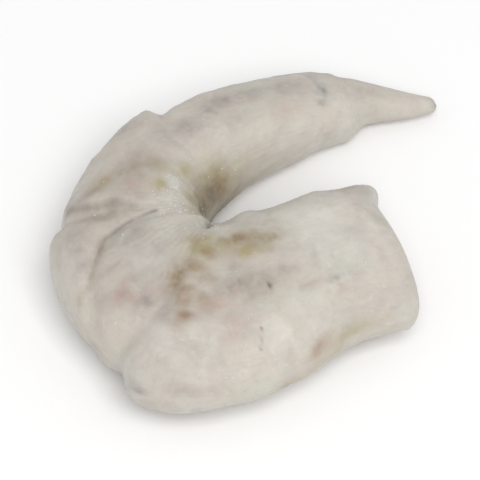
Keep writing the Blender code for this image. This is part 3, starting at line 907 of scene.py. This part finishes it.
def large_relief(spine, station, angle, half_depth, share):
    """The somites, furrows, groove, knobs and tail root, fading out on the tail and face."""
    relief = somite_relief(station, angle)
    relief += flank_furrow(station, angle, half_depth)
    relief += belly_relief(station, angle, half_depth)
    relief += root_step(station, np.cos(angle), spine.length)
    on_tail = smooth_step(station, end_of("somite_6"), spine.length - TIP_ROUNDING)
    return relief * share * (1.0 - (1.0 - RELIEF_AT_TIP) * on_tail)


def face_slant(station, angle, share):
    """How far out the slanting cut end stands at each point, fading out along the body."""
    cosine = np.cos(angle)
    slant = SLANT_AT_BACK * np.maximum(cosine, 0.0) ** 2 + SLANT_AT_FLANKS * np.sin(angle) ** 2
    slant = slant + SLANT_AT_BELLY * np.maximum(-cosine, 0.0) ** 2
    return slant * share * (1.0 - smooth_step(station, 0.0, SLANT_REACH))


Body = namedtuple("Body", "points station angle half_depth heading in_face canal")


def body_of_flesh(spine, t, angle, flesh):
    """The points of the surface in millimetres, and where each is on the body."""
    station, share, in_face = ring_place(spine, t)
    half_depth = (spine.at(spine.back, station) + spine.at(spine.belly, station)) / 2.0
    half_thickness = spine.at(spine.thickness, station) / 2.0
    cosine, sine = np.cos(angle), np.sin(angle)
    across, up = plain_section(spine, station, angle)
    relief = large_relief(spine, station, angle, half_depth, share)
    across = across * share + cosine * relief
    height = up * share + sine * relief
    heading = spine.at(spine.heading, station)
    forward = FACE_DISH * (1.0 - in_face**2) - face_slant(station, angle, share)
    flat = np.stack([across, height, station], axis=1)
    forward = forward + face_relief(flat, across, height, in_face)
    x = spine.at(spine.x, station) - np.sin(heading) * across + np.cos(heading) * forward
    y = spine.at(spine.y, station) + np.cos(heading) * across + np.sin(heading) * forward
    z = height + half_thickness + lift(spine, station)
    points = np.stack([x, y, z], axis=1)
    outward = np.stack([-np.sin(heading) * cosine, np.cos(heading) * cosine, sine], axis=1)
    thin = np.minimum(half_thickness / LUMP_FULL_THICKNESS, 1.0)
    fine = fine_relief(points, station, angle, half_depth, flesh)
    fine += stroke_grooves(points, station, angle, half_depth)
    points += outward * ((lumps(points) + fine) * share * thin)[:, None]
    points[:, 2] = pressed(points[:, 2])
    canal = sum(in_canals(across, height)) * inside_face(in_face)
    return Body(points, station, angle, half_depth, heading, in_face, canal)


def mark_mask(body, warp, mark, side=1.0, shift=0.0):
    """How strongly a mark shows at each point, with its edge pushed about by the warp."""
    spot = (mark.station + shift, mark.angle * side)
    middle = nearest_to(body.station, body.angle, body.half_depth, spot)
    heading, angle = body.heading[middle], body.angle[middle]
    lengthways = np.array([math.cos(heading), math.sin(heading), 0.0])
    sideways = np.array([-math.sin(heading), math.cos(heading), 0.0])
    upwards = np.array([0.0, 0.0, 1.0])
    round_it = upwards * math.cos(angle) - sideways * math.sin(angle)
    outwards = sideways * math.cos(angle) + upwards * math.sin(angle)
    offset = body.points - body.points[middle]
    along = (offset @ lengthways + warp[0]) / mark.length
    around = (offset @ round_it + warp[1]) / mark.width
    deep = (offset @ outwards) / (MARK_DEPTH * max(mark.length, mark.width))
    return mark.strength * np.exp(-(along**2 + around**2 + deep**2))


def stain_masks(body):
    """A mask from 0 to 1 for each kind of stain."""
    warp = []
    for offset in WARP_OFFSETS:
        coarse = noise_at(body.points / WARP_SIZE + offset)
        fine = noise_at(body.points / WARP_SIZE * WARP_FINENESS + offset)
        warp.append(WARP_REACH * (coarse + WARP_FINE_SHARE * fine))
    masks = {stain: np.zeros(len(body.station)) for stain, _, _ in BREAK_UP}
    for mark in MARKS:
        shown = mark_mask(body, warp, mark)
        lower = mark_mask(body, warp, mark, side=-1.0, shift=LOWER_SIDE_SHIFT)
        shown = np.maximum(shown, LOWER_SIDE_STRENGTH * lower)
        masks[mark.stain] = np.maximum(masks[mark.stain], shown)
    for stroke in STROKES:
        away = path_distance(body.points, body.station, body.angle, body.half_depth, stroke.path)
        shown = stroke.amount * bump(away, stroke.half_width)
        masks[stroke.stain] = np.maximum(masks[stroke.stain], shown)
    outside = smooth_step(body.in_face, *STAINS_START)
    for stain in masks:
        masks[stain] = masks[stain] * outside
    masks["grey"] = np.maximum(masks["grey"], CANAL_STAIN * body.canal)
    masks["cut"] = 1.0 - smooth_step(body.in_face, *CUT_COLOUR_ENDS)
    # Painted shade: the brown stain laid over the underside near the floor.
    low = 1.0 - smooth_step(body.points[:, 2], *UNDERSIDE_EDGE)
    masks["brown"] = np.maximum(masks["brown"], UNDERSIDE_PAINTED_SHADE * low)
    masks["speckled"] = np.maximum(masks["grey"], SPECKS_ON_BROWN * masks["brown"])
    return masks


def mesh_of(form, name):
    """A mesh with the shape of a bmesh, which is freed."""
    mesh = bpy.data.meshes.new(name)
    form.to_mesh(mesh)
    form.free()
    return mesh


def flesh_mesh(flesh):
    """A ball of rings, each point moved to its place on the body, with its masks."""
    ball = bmesh.new()
    bmesh.ops.create_uvsphere(
        ball, u_segments=flesh.points_round, v_segments=flesh.rings, radius=1.0
    )
    x, y, z = np.array([vertex.co for vertex in ball.verts]).T
    t = np.arctan2(np.hypot(x, y), z) / math.pi
    angle = np.arctan2(y, x)
    body = body_of_flesh(Spine(), t, angle, flesh)
    masks = stain_masks(body)
    points = body.points.copy()
    middle = (points.min(axis=0) + points.max(axis=0)) / 2.0
    points[:, :2] -= middle[:2]
    for vertex, point in zip(ball.verts, points):
        vertex.co = Vector(point * MM)
    bmesh.ops.recalc_face_normals(ball, faces=ball.faces)
    mesh = mesh_of(ball, "flesh")
    mesh.shade_smooth()
    for stain, mask in masks.items():
        add_mask(mesh, stain, mask)
    places = fibre_places(body.station, body.angle, body.half_depth)
    attribute = mesh.attributes.new("fibre_place", "FLOAT_VECTOR", "POINT")
    attribute.data.foreach_set("vector", places.astype(np.float32).ravel())
    return mesh


def add_mask(mesh, name, values):
    """Stores a value for each point of the mesh, for its material to read."""
    attribute = mesh.attributes.new(name, "FLOAT", "POINT")
    attribute.data.foreach_set("value", values.astype(np.float32))


def ice_mesh(flesh):
    """Small crystals, half sunk in the flesh: thick where it is frosty, sparse elsewhere."""
    choice = random.Random(ICE_SEED)
    frost = np.zeros(len(flesh.vertices), np.float32)
    flesh.attributes["frost"].data.foreach_get("value", frost)
    weights = np.maximum(frost, ICE_ELSEWHERE).tolist()
    ice = bmesh.new()
    for index in choice.choices(range(len(weights)), weights=weights, k=ICE_GRAINS):
        vertex = flesh.vertices[index]
        size = MM * choice.uniform(*ICE_SIZES)
        shares = (1.0, choice.uniform(*ICE_WIDTHS), choice.uniform(*ICE_HEIGHTS), 1.0)
        flat = Matrix.Diagonal(shares)
        turn = vertex.normal.to_track_quat("Z", "Y").to_matrix().to_4x4()
        spin = Matrix.Rotation(choice.uniform(0.0, 2.0 * math.pi), 4, "Z")
        where = Matrix.Translation(vertex.co) @ turn @ spin @ flat
        grain = bmesh.ops.create_icosphere(ice, subdivisions=1, radius=size, matrix=where)
        for corner in grain["verts"]:
            jitter = Vector([choice.uniform(-ICE_JITTER, ICE_JITTER) for _ in range(3)])
            corner.co += jitter * size
            corner.co.z = max(corner.co.z, 0.0)
    return mesh_of(ice, "ice_grains")


def place(tree, kind, column, row, **settings):
    """Adds a node in its column and row, and sets what is given."""
    node = tree.nodes.new(kind)
    node.location = (column * COLUMN_WIDTH, row * ROW_HEIGHT)
    for name, value in settings.items():
        setattr(node, name, value)
    return node


def spread(tree, column, row, mask, low, high):
    """A value from low to high, as a mask goes from 0 to 1."""
    node = place(tree, "ShaderNodeMapRange", column, row)
    node.inputs["To Min"].default_value = low
    node.inputs["To Max"].default_value = high
    tree.links.new(mask, node.inputs["Value"])
    return node.outputs["Result"]


def raised(tree, column, row, height, distance):
    """A bump node that raises the surface by a height, up to a distance in metres."""
    node = place(tree, "ShaderNodeBump", column, row)
    node.inputs["Strength"].default_value = BUMP_STRENGTH
    node.inputs["Distance"].default_value = distance
    tree.links.new(height, node.inputs["Height"])
    return node


def group_sockets(tree, inputs, outputs):
    """Gives a shader group its named sockets: each input has its kind and default."""
    for name, (kind, value) in inputs.items():
        socket = tree.interface.new_socket(name, in_out="INPUT", socket_type=kind)
        socket.default_value = value
    for name, kind in outputs.items():
        tree.interface.new_socket(name, in_out="OUTPUT", socket_type=kind)


def patches_group():
    """Soft patches of a given size: a mask with more or less sharp edges."""
    tree = bpy.data.node_groups.new("Soft patches", "ShaderNodeTree")
    inputs = {
        "Patches per metre": ("NodeSocketFloat", 250.0),
        "Low": ("NodeSocketFloat", 0.4),
        "High": ("NodeSocketFloat", 0.6),
        "Strength": ("NodeSocketFloat", 1.0),
    }
    group_sockets(tree, inputs, {"Mask": "NodeSocketFloat"})
    given = place(tree, "NodeGroupInput", 0, 1)
    where = place(tree, "ShaderNodeTexCoord", 0, 0)
    cloud = place(tree, "ShaderNodeTexNoise", 1, 0)
    cloud.inputs["Detail"].default_value = CLOUD_DETAIL
    cloud.inputs["Distortion"].default_value = CLOUD_DISTORTION
    sharpen = place(tree, "ShaderNodeMapRange", 2, 0, interpolation_type="SMOOTHSTEP")
    result = place(tree, "NodeGroupOutput", 3, 0)
    tree.links.new(where.outputs["Object"], cloud.inputs["Vector"])
    tree.links.new(given.outputs["Patches per metre"], cloud.inputs["Scale"])
    tree.links.new(cloud.outputs["Fac"], sharpen.inputs["Value"])
    tree.links.new(given.outputs["Low"], sharpen.inputs["From Min"])
    tree.links.new(given.outputs["High"], sharpen.inputs["From Max"])
    tree.links.new(given.outputs["Strength"], sharpen.inputs["To Max"])
    tree.links.new(sharpen.outputs["Result"], result.inputs["Mask"])
    return tree


def fibres_group():
    """Streaks of muscle that run along the body: a mask and a height."""
    tree = bpy.data.node_groups.new("Muscle fibres", "ShaderNodeTree")
    inputs = {
        "Fineness": ("NodeSocketFloat", 1.0),
        "Low": ("NodeSocketFloat", 0.4),
        "High": ("NodeSocketFloat", 0.7),
        "Strength": ("NodeSocketFloat", 1.0),
    }
    group_sockets(tree, inputs, {"Mask": "NodeSocketFloat", "Height": "NodeSocketFloat"})
    given = place(tree, "NodeGroupInput", 0, 1)
    where = place(tree, "ShaderNodeAttribute", 0, 0, attribute_name="fibre_place")
    streaks = place(tree, "ShaderNodeTexNoise", 1, 0)
    streaks.inputs["Detail"].default_value = FIBRE_DETAIL
    sharpen = place(tree, "ShaderNodeMapRange", 2, 0, interpolation_type="SMOOTHSTEP")
    result = place(tree, "NodeGroupOutput", 3, 0)
    tree.links.new(where.outputs["Vector"], streaks.inputs["Vector"])
    tree.links.new(given.outputs["Fineness"], streaks.inputs["Scale"])
    tree.links.new(streaks.outputs["Fac"], sharpen.inputs["Value"])
    tree.links.new(given.outputs["Low"], sharpen.inputs["From Min"])
    tree.links.new(given.outputs["High"], sharpen.inputs["From Max"])
    tree.links.new(given.outputs["Strength"], sharpen.inputs["To Max"])
    tree.links.new(sharpen.outputs["Result"], result.inputs["Mask"])
    tree.links.new(streaks.outputs["Fac"], result.inputs["Height"])
    return tree


def specks_group():
    """Small round dots, uneven in size, where a mask allows them."""
    tree = bpy.data.node_groups.new("Specks", "ShaderNodeTree")
    inputs = {
        "Specks per metre": ("NodeSocketFloat", 1500.0),
        "Radius": ("NodeSocketFloat", 0.3),
        "Where": ("NodeSocketFloat", 1.0),
        "Strength": ("NodeSocketFloat", 1.0),
    }
    group_sockets(tree, inputs, {"Mask": "NodeSocketFloat"})
    given = place(tree, "NodeGroupInput", 0, 1)
    where = place(tree, "ShaderNodeTexCoord", 0, 0)
    cells = place(tree, "ShaderNodeTexVoronoi", 1, 0)
    dots = place(tree, "ShaderNodeMapRange", 2, 0, interpolation_type="SMOOTHSTEP")
    dots.inputs["To Max"].default_value = 0.0
    allowed = place(tree, "ShaderNodeMath", 3, 0, operation="MULTIPLY", use_clamp=True)
    result = place(tree, "NodeGroupOutput", 4, 0)
    tree.links.new(where.outputs["Object"], cells.inputs["Vector"])
    tree.links.new(given.outputs["Specks per metre"], cells.inputs["Scale"])
    tree.links.new(cells.outputs["Distance"], dots.inputs["Value"])
    tree.links.new(given.outputs["Radius"], dots.inputs["From Max"])
    tree.links.new(given.outputs["Strength"], dots.inputs["To Min"])
    tree.links.new(dots.outputs["Result"], allowed.inputs[0])
    tree.links.new(given.outputs["Where"], allowed.inputs[1])
    tree.links.new(allowed.outputs[0], result.inputs["Mask"])
    return tree


def stain_group():
    """Lays one stain over a colour, with its mask broken up into uneven blots."""
    tree = bpy.data.node_groups.new("Stain", "ShaderNodeTree")
    inputs = {
        "Color": ("NodeSocketColor", (0.5, 0.5, 0.5, 1.0)),
        "Stain": ("NodeSocketColor", (0.2, 0.2, 0.2, 1.0)),
        "Mask": ("NodeSocketFloat", 0.0),
        "Blots per metre": ("NodeSocketFloat", 900.0),
        "Unevenness": ("NodeSocketFloat", 0.5),
    }
    group_sockets(tree, inputs, {"Color": "NodeSocketColor"})
    given = place(tree, "NodeGroupInput", 0, 1)
    where = place(tree, "ShaderNodeTexCoord", 0, 0)
    blots = place(tree, "ShaderNodeTexNoise", 1, 0)
    blots.inputs["Detail"].default_value = BLOT_DETAIL
    centred = place(tree, "ShaderNodeMath", 2, 0, operation="MULTIPLY_ADD")
    centred.inputs[1].default_value = BLOT_CONTRAST
    centred.inputs[2].default_value = -BLOT_CONTRAST / 2.0
    uneven = place(tree, "ShaderNodeMath", 3, 0, operation="MULTIPLY_ADD")
    uneven.inputs[2].default_value = 1.0
    amount = place(tree, "ShaderNodeMath", 4, 0, operation="MULTIPLY", use_clamp=True)
    laid = place(tree, "ShaderNodeMix", 5, 0, data_type="RGBA")
    result = place(tree, "NodeGroupOutput", 6, 0)
    tree.links.new(where.outputs["Object"], blots.inputs["Vector"])
    tree.links.new(given.outputs["Blots per metre"], blots.inputs["Scale"])
    tree.links.new(blots.outputs["Fac"], centred.inputs[0])
    tree.links.new(centred.outputs[0], uneven.inputs[0])
    tree.links.new(given.outputs["Unevenness"], uneven.inputs[1])
    tree.links.new(uneven.outputs[0], amount.inputs[0])
    tree.links.new(given.outputs["Mask"], amount.inputs[1])
    tree.links.new(amount.outputs[0], laid.inputs[MIX_FACTOR])
    tree.links.new(given.outputs["Color"], laid.inputs[MIX_LOW])
    tree.links.new(given.outputs["Stain"], laid.inputs[MIX_HIGH])
    tree.links.new(laid.outputs[MIX_RESULT], result.inputs["Color"])
    return tree


def add_group(tree, group, column, row, **values):
    """Places a node group and sets its inputs, whose names have spaces for underscores."""
    node = place(tree, "ShaderNodeGroup", column, row, node_tree=group)
    for name, value in values.items():
        node.inputs[name.replace("_", " ")].default_value = value
    return node


def mix(tree, column, row, factor, low, high):
    """A mix of two colours, each one an output or a value."""
    node = place(tree, "ShaderNodeMix", column, row, data_type="RGBA")
    tree.links.new(factor, node.inputs[MIX_FACTOR])
    for socket, colour in ((node.inputs[MIX_LOW], low), (node.inputs[MIX_HIGH], high)):
        if isinstance(colour, bpy.types.NodeSocket):
            tree.links.new(colour, socket)
        else:
            socket.default_value = colour
    return node.outputs[MIX_RESULT]


def flesh_colour(tree, flesh, groups):
    """The colour of the flesh: its patches and fibres, and the stains over them."""
    colour = flesh.clean
    for row, layer in enumerate(LAYERS, start=1):
        over = add_group(
            tree, groups["patches"], row - 1, row,
            Patches_per_metre=layer.pitch, Low=layer.low, High=layer.high,
            Strength=layer.strength,
        )
        colour = mix(tree, row, 0, over.outputs["Mask"], colour, getattr(flesh, layer.colour))
    column = len(LAYERS) + 1
    low, high = FIBRE_STREAK
    fibres = add_group(
        tree, groups["fibres"], column, 1, Low=low, High=high, Strength=FIBRE_COLOUR_STRENGTH
    )
    colour = mix(tree, column, 0, fibres.outputs["Mask"], colour, flesh.cloudy)
    for stain, blots, unevenness in BREAK_UP:
        column += 1
        mask = place(tree, "ShaderNodeAttribute", column, 2, attribute_name=stain)
        over = add_group(
            tree, groups["stain"], column, 0,
            Stain=getattr(flesh, stain), Blots_per_metre=blots, Unevenness=unevenness,
        )
        tree.links.new(colour, over.inputs["Color"])
        tree.links.new(mask.outputs["Fac"], over.inputs["Mask"])
        colour = over.outputs["Color"]
    where = place(tree, "ShaderNodeAttribute", column, 3, attribute_name="speckled")
    specks = add_group(
        tree, groups["specks"], column + 1, 2,
        Specks_per_metre=SPECK_PITCH, Radius=SPECK_RADIUS, Strength=SPECK_STRENGTH,
    )
    tree.links.new(where.outputs["Fac"], specks.inputs["Where"])
    return mix(tree, column + 2, 0, specks.outputs["Mask"], colour, flesh.grey)


def new_material(name):
    """A material with nodes: itself, its node tree and its main shader."""
    material = bpy.data.materials.new(name)
    material.use_nodes = True
    tree = material.node_tree
    return material, tree, tree.nodes["Principled BSDF"]


def flesh_material(flesh, groups):
    """Pale raw flesh, a little see-through, with a matt frosty surface."""
    material, tree, shader = new_material("frosted_flesh")
    shader.location = (SHADER_COLUMN * COLUMN_WIDTH, 0.0)
    tree.nodes["Material Output"].location = ((SHADER_COLUMN + 2) * COLUMN_WIDTH, 0.0)
    tree.links.new(flesh_colour(tree, flesh, groups), shader.inputs["Base Color"])
    low, high = DULL_EDGE
    dull = add_group(
        tree, groups["patches"], 20, 4, Patches_per_metre=DULL_PITCH, Low=low, High=high
    )
    rough = spread(
        tree, 21, 4, dull.outputs["Mask"], flesh.roughness - SHINIER, flesh.roughness + DULLER
    )
    tree.links.new(rough, shader.inputs["Roughness"])
    fibres = add_group(tree, groups["fibres"], 21, 5, Fineness=FIBRE_BUMP_FINENESS)
    along = raised(tree, 22, 5, fibres.outputs["Height"], FIBRE_BUMP_HEIGHT)
    where = place(tree, "ShaderNodeTexCoord", 20, 6)
    frost = place(tree, "ShaderNodeTexNoise", 21, 6)
    frost.inputs["Scale"].default_value = FROST_PITCH
    frost.inputs["Detail"].default_value = FROST_DETAIL
    frost.inputs["Roughness"].default_value = FROST_ROUGHNESS
    tree.links.new(where.outputs["Object"], frost.inputs["Vector"])
    grain = raised(tree, 23, 6, frost.outputs["Fac"], FROST_BUMP_HEIGHT)
    tree.links.new(along.outputs["Normal"], grain.inputs["Normal"])
    tree.links.new(grain.outputs["Normal"], shader.inputs["Normal"])
    shader.inputs["Subsurface Weight"].default_value = LIGHT_INSIDE
    shader.inputs["Subsurface Radius"].default_value = LIGHT_SHARES
    shader.inputs["Subsurface Scale"].default_value = LIGHT_REACH
    shader.inputs["Specular IOR Level"].default_value = FLESH_SPECULAR
    return material


def ice_material(flesh, groups):
    """Tiny crystals of frost: cloudy, whiter than the flesh and a little shiny."""
    material, tree, shader = new_material("ice_grains")
    low, high = ICE_CLOUD_EDGE
    cloud = add_group(
        tree, groups["patches"], -3, 0, Patches_per_metre=ICE_CLOUD_PITCH, Low=low, High=high
    )
    colour = mix(tree, -2, 0, cloud.outputs["Mask"], flesh.ice, flesh.frost)
    tree.links.new(colour, shader.inputs["Base Color"])
    rough = spread(tree, -2, 2, cloud.outputs["Mask"], *ICE_ROUGHNESS)
    tree.links.new(rough, shader.inputs["Roughness"])
    shader.inputs["IOR"].default_value = ICE_REFRACTION
    return material


def shader_groups():
    """The shader effects, each built once."""
    return {
        "patches": patches_group(),
        "fibres": fibres_group(),
        "specks": specks_group(),
        "stain": stain_group(),
    }


def floor_material(stage):
    """Near-white matt paper, faintly uneven in roughness."""
    material, tree, shader = new_material("white_paper")
    shader.inputs["Base Color"].default_value = stage.floor_colour
    shader.inputs["Specular IOR Level"].default_value = FLOOR_SPECULAR
    cloud = place(tree, "ShaderNodeTexNoise", -2, 0)
    cloud.inputs["Scale"].default_value = FLOOR_CLOUD_PITCH
    rough = spread(tree, -1, 0, cloud.outputs["Fac"], *FLOOR_ROUGHNESS)
    tree.links.new(rough, shader.inputs["Roughness"])
    return material


def light_sky(context, strength):
    """Even white light all round, and plain white where the camera sees past the floor."""
    world = bpy.data.worlds.new("studio")
    context.scene.world = world
    world.use_nodes = True
    tree = world.node_tree
    even = tree.nodes["Background"]
    even.inputs["Color"].default_value = WHITE
    even.inputs["Strength"].default_value = strength
    seen = place(tree, "ShaderNodeBackground", 0, 2)
    seen.inputs["Color"].default_value = WHITE
    path = place(tree, "ShaderNodeLightPath", 0, -2)
    either = place(tree, "ShaderNodeMixShader", 2, 0)
    tree.links.new(path.outputs["Is Camera Ray"], either.inputs["Fac"])
    tree.links.new(even.outputs["Background"], either.inputs[1])
    tree.links.new(seen.outputs["Background"], either.inputs[2])
    tree.links.new(either.outputs["Shader"], tree.nodes["World Output"].inputs["Surface"])


def add_object(context, name, mesh, material):
    """An object with its mesh and material, in the scene."""
    mesh.materials.append(material)
    thing = bpy.data.objects.new(name, mesh)
    context.scene.collection.objects.link(thing)
    return thing


def aimed(context, name, data, location, target):
    """A lamp or camera at a place, turned to a target."""
    thing = bpy.data.objects.new(name, data)
    context.scene.collection.objects.link(thing)
    thing.location = location
    towards = Vector(target) - Vector(location)
    thing.rotation_euler = towards.to_track_quat("-Z", "Y").to_euler()
    return thing


class OBJECT_OT_shrimp_flesh(bpy.types.Operator):
    """Build the curled body of raw flesh in place of its plain solid"""

    bl_idname = "object.shrimp_flesh"
    bl_label = "Build Flesh"

    def execute(self, context):
        flesh = context.scene.shrimp_flesh
        groups = shader_groups()
        piece = add_object(context, "flesh", flesh_mesh(flesh), flesh_material(flesh, groups))
        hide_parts(NODE)
        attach(piece, BODY)
        ice = ice_mesh(piece.data)
        grains = add_object(context, "ice_grains", ice, ice_material(flesh, groups))
        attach(grains, BODY)
        return {"FINISHED"}


class OBJECT_OT_shrimp_stage(bpy.types.Operator):
    """Add the pale floor, the soft light and the camera"""

    bl_idname = "object.shrimp_stage"
    bl_label = "Build Stage"

    def execute(self, context):
        stage = context.scene.shrimp_stage
        sheet = bmesh.new()
        bmesh.ops.create_grid(
            sheet, x_segments=FLOOR_CELLS, y_segments=FLOOR_CELLS, size=stage.floor_size / 2.0
        )
        floor = add_object(context, "floor", mesh_of(sheet, "floor"), floor_material(stage))
        light_sky(context, stage.sky)
        key = bpy.data.lights.new("key", "AREA")
        key.size = stage.key_size
        key.energy = stage.key_power
        aimed(context, "key", key, KEY_PLACE, (0.0, 0.0, 0.0))
        lens = bpy.data.cameras.new("camera")
        lens.sensor_width = FILM_WIDTH
        lens.lens = lens.sensor_width * stage.distance / stage.window
        target = Vector(stage.target)
        away = Vector((0.0, -math.cos(stage.elevation), math.sin(stage.elevation)))
        camera = aimed(context, "camera", lens, target + away * stage.distance, target)
        context.scene.camera = camera
        context.scene.view_settings.view_transform = "Standard"
        return {"FINISHED"}


class VIEW3D_PT_shrimp(bpy.types.Panel):
    """Lists the pieces of the shrimp and their settings"""

    bl_label = "Raw Peeled Shrimp"
    bl_idname = "VIEW3D_PT_shrimp"
    bl_space_type = "VIEW_3D"
    bl_region_type = "UI"
    bl_category = "Shrimp"

    def draw(self, context):
        layout = self.layout
        for kind, settings, operator in (
            (ShrimpFlesh, context.scene.shrimp_flesh, "object.shrimp_flesh"),
            (ShrimpStage, context.scene.shrimp_stage, "object.shrimp_stage"),
        ):
            box = layout.box()
            for name in kind.__annotations__:
                box.prop(settings, name)
            box.operator(operator)


CLASSES = (
    ShrimpFlesh,
    ShrimpStage,
    OBJECT_OT_shrimp_flesh,
    OBJECT_OT_shrimp_stage,
    VIEW3D_PT_shrimp,
)


def register():
    """Makes the settings, operators and panel known to Blender."""
    for item in CLASSES:
        bpy.utils.register_class(item)
    bpy.types.Scene.shrimp_flesh = bpy.props.PointerProperty(type=ShrimpFlesh)
    bpy.types.Scene.shrimp_stage = bpy.props.PointerProperty(type=ShrimpStage)


def unregister():
    """Takes the settings, operators and panel away again."""
    del bpy.types.Scene.shrimp_stage
    del bpy.types.Scene.shrimp_flesh
    for item in reversed(CLASSES):
        bpy.utils.unregister_class(item)


def main():
    """Builds the shrimp and its stage."""
    register()
    bpy.ops.object.shrimp_flesh()
    bpy.ops.object.shrimp_stage()


if __name__ == "__main__":
    main()
